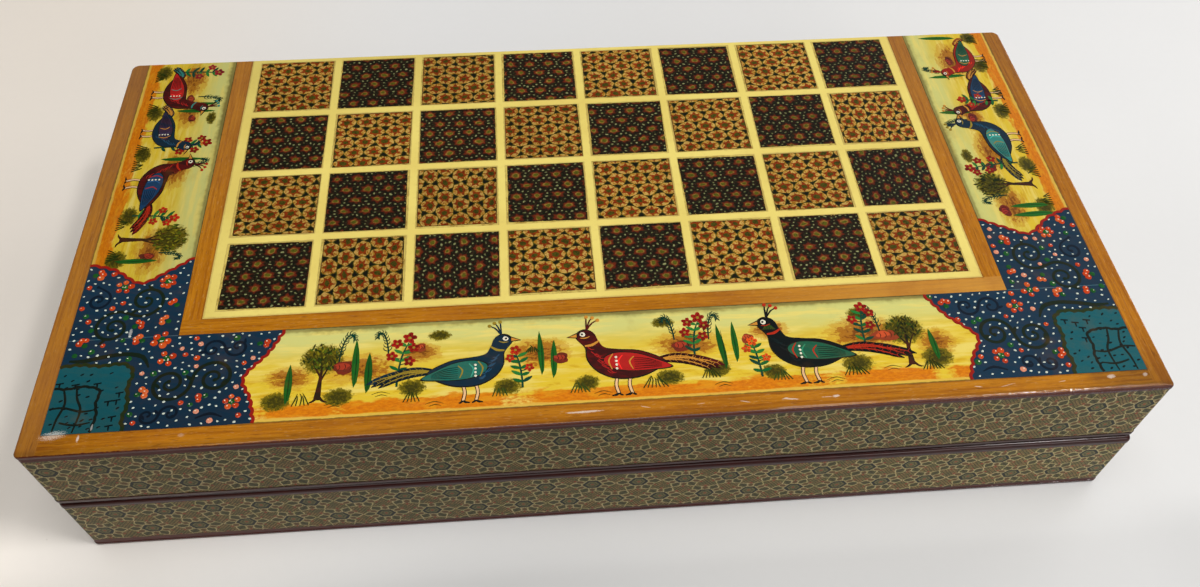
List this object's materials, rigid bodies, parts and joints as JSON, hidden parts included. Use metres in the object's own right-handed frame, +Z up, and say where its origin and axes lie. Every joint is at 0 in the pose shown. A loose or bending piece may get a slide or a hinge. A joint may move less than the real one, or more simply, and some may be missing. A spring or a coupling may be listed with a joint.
{
  "type": "folding chess box",
  "caption": "Wooden box of two shallow trays hinged along the back; outer faces form a chessboard, inside is a backgammon board.",
  "frame": {"origin": "bottom centre of the closed box, on the surface it stands on", "axes": "+X to the right along the long side, +Y towards the hinged back, +Z up"},
  "size_m": [0.3, 0.1526, 0.0524],
  "materials": {
    "amber_laths": "gloss lacquer",
    "painted_panels": "painted, gloss lacquer",
    "flower_mosaic": "inlaid, gloss lacquer",
    "stained_walls": "stained, edges painted maroon, lacquered",
    "board": "stained, edges painted maroon, lacquered",
    "cream_field": "cast resin, polished",
    "light_mosaic": "inlaid, gloss lacquer",
    "dark_mosaic": "inlaid, gloss lacquer",
    "playing_floor": "lacquered",
    "light_points": "inlaid, lacquered",
    "dark_points": "inlaid, lacquered",
    "brass": "stamped",
    "brass_pins": "turned"
  },
  "bodies": {
    "base": {"base_band_back": "flower_mosaic", "base_band_front": "flower_mosaic", "base_band_left": "flower_mosaic", "base_band_right": "flower_mosaic", "base_border_front": "amber_laths", "base_border_left": "amber_laths", "base_border_right": "amber_laths", "base_chess_field": "cream_field", "base_dark_points": "dark_points", "base_dark_squares": "dark_mosaic", "base_hinge_screws": "brass_pins", "base_light_points": "light_points", "base_light_squares": "light_mosaic", "base_painted_front": "painted_panels", "base_painted_left": "painted_panels", "base_painted_right": "painted_panels", "base_panel": "board", "base_playing_floor": "playing_floor", "base_strip_front": "amber_laths", "base_strip_left": "amber_laths", "base_strip_right": "amber_laths", "base_wall_back": "stained_walls", "base_wall_front": "stained_walls", "base_wall_left": "stained_walls", "base_wall_right": "stained_walls", "left_hinge_base_leaf": "brass", "left_hinge_pin": "brass_pins", "right_hinge_base_leaf": "brass", "right_hinge_pin": "brass_pins"},
    "lid": {"left_hinge_lid_leaf": "brass", "lid_band_back": "flower_mosaic", "lid_band_front": "flower_mosaic", "lid_band_left": "flower_mosaic", "lid_band_right": "flower_mosaic", "lid_border_front": "amber_laths", "lid_border_left": "amber_laths", "lid_border_right": "amber_laths", "lid_chess_field": "cream_field", "lid_dark_points": "dark_points", "lid_dark_squares": "dark_mosaic", "lid_hinge_screws": "brass_pins", "lid_light_points": "light_points", "lid_light_squares": "light_mosaic", "lid_painted_front": "painted_panels", "lid_painted_left": "painted_panels", "lid_painted_right": "painted_panels", "lid_panel": "board", "lid_playing_floor": "playing_floor", "lid_strip_front": "amber_laths", "lid_strip_left": "amber_laths", "lid_strip_right": "amber_laths", "lid_wall_back": "stained_walls", "lid_wall_front": "stained_walls", "lid_wall_left": "stained_walls", "lid_wall_right": "stained_walls", "right_hinge_lid_leaf": "brass"}
  },
  "joints": [
    {"name": "lid_hinge", "type": "hinge", "parent": "base", "child": "lid", "pos_m": [0, 0.07525, 0.0262], "axis": [-1, 0, 0], "range_deg": [0, 180]}
  ]
}
